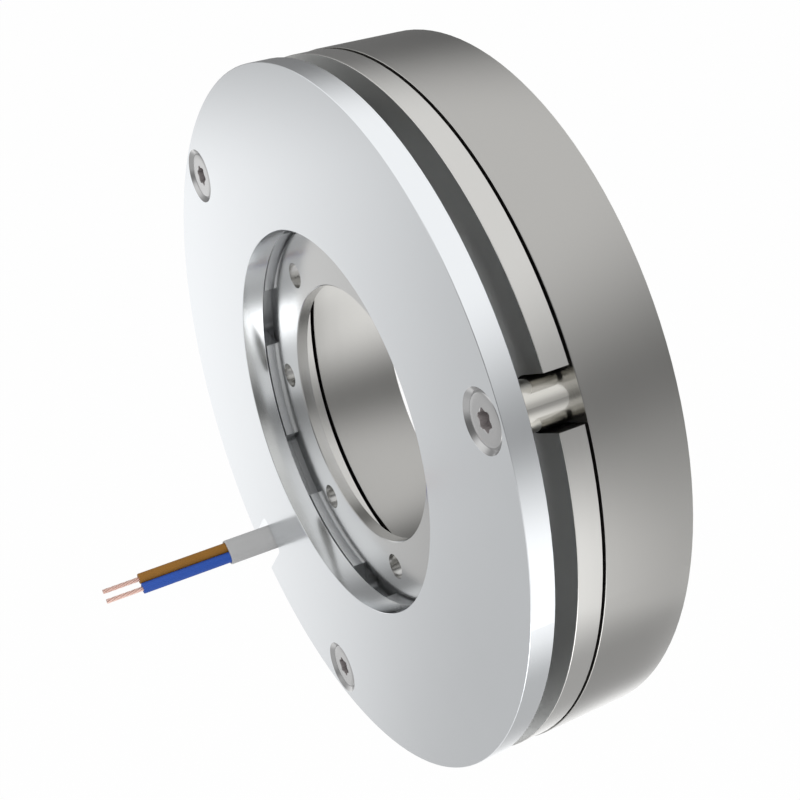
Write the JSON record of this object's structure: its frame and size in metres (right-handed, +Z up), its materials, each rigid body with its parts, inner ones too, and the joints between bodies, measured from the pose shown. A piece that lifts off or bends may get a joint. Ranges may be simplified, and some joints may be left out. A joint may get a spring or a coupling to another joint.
{
  "type": "servo motor brake",
  "caption": "Slim round spring-applied brake with a wide through-bore, a ring of spacers behind its front plate and a short cable with bare ends.",
  "frame": {"origin": "centre of the rear mounting face of the coil carrier, on the brake axis", "axes": "+Y along the brake axis from the front plate to the mounting face, +Z up, +X to the right seen from the front"},
  "size_m": [0.08, 0.0416, 0.08],
  "materials": {
    "plated_steel": "turned and plated, satin",
    "ground_steel": "ground and plated, satin",
    "armature_steel": "ground, satin",
    "hub_steel": "turned, satin",
    "rotor_aluminium": "machined",
    "friction_lining": "ground friction material",
    "bobbin_plastic": "moulded, glass filled",
    "coil_copper": "enamelled wire",
    "potting_resin": "cast resin",
    "grommet_plastic": "moulded",
    "cable_jacket": "soft grey sleeve, matt",
    "brown_insulation": "extruded, satin",
    "blue_insulation": "extruded, satin",
    "tinned_copper": "stranded wire, bare",
    "screw_steel": "plated",
    "sleeve_steel": "turned",
    "spring_steel": "drawn wire"
  },
  "bodies": {
    "stator": {"coil_carrier": "plated_steel", "coil_bobbin": "bobbin_plastic", "coil_winding": "coil_copper", "coil_potting": "potting_resin", "flange_plate": "ground_steel", "cable_grommet": "grommet_plastic", "cable_jacket": "cable_jacket", "brown_lead": "brown_insulation", "blue_lead": "blue_insulation", "brown_conductor": "tinned_copper", "blue_conductor": "tinned_copper", "plate_screw_1": "screw_steel", "plate_screw_2": "screw_steel", "plate_screw_3": "screw_steel", "spacer_sleeve_1": "sleeve_steel", "spacer_sleeve_2": "sleeve_steel", "spacer_sleeve_3": "sleeve_steel", "brake_spring_1": "spring_steel", "brake_spring_2": "spring_steel", "brake_spring_3": "spring_steel", "brake_spring_4": "spring_steel", "brake_spring_5": "spring_steel", "brake_spring_6": "spring_steel"},
    "armature": {"armature_disc": "armature_steel"},
    "hub": {"drive_hub": "hub_steel"},
    "rotor": {"rotor_carrier": "rotor_aluminium", "front_lining": "friction_lining", "rear_lining": "friction_lining"}
  },
  "joints": [
    {"name": "armature_release", "type": "slide", "parent": "stator", "child": "armature", "axis": [0, 1, 0], "range_m": [0, 0.0003], "stiffness_N_per_m": 60000, "deforming": ["brake_spring_1", "brake_spring_2", "brake_spring_3", "brake_spring_4", "brake_spring_5", "brake_spring_6"]},
    {"name": "hub_spin", "type": "hinge", "parent": "stator", "child": "hub", "pos_m": [0, -0.0142, 0], "axis": [0, 1, 0], "continuous": true},
    {"name": "rotor_float", "type": "slide", "parent": "hub", "child": "rotor", "axis": [0, 1, 0], "range_m": [0, 0.00015]}
  ],
  "couplings": [
    {"joint": "rotor_float", "follows": "armature_release", "ratio": 0.5}
  ]
}
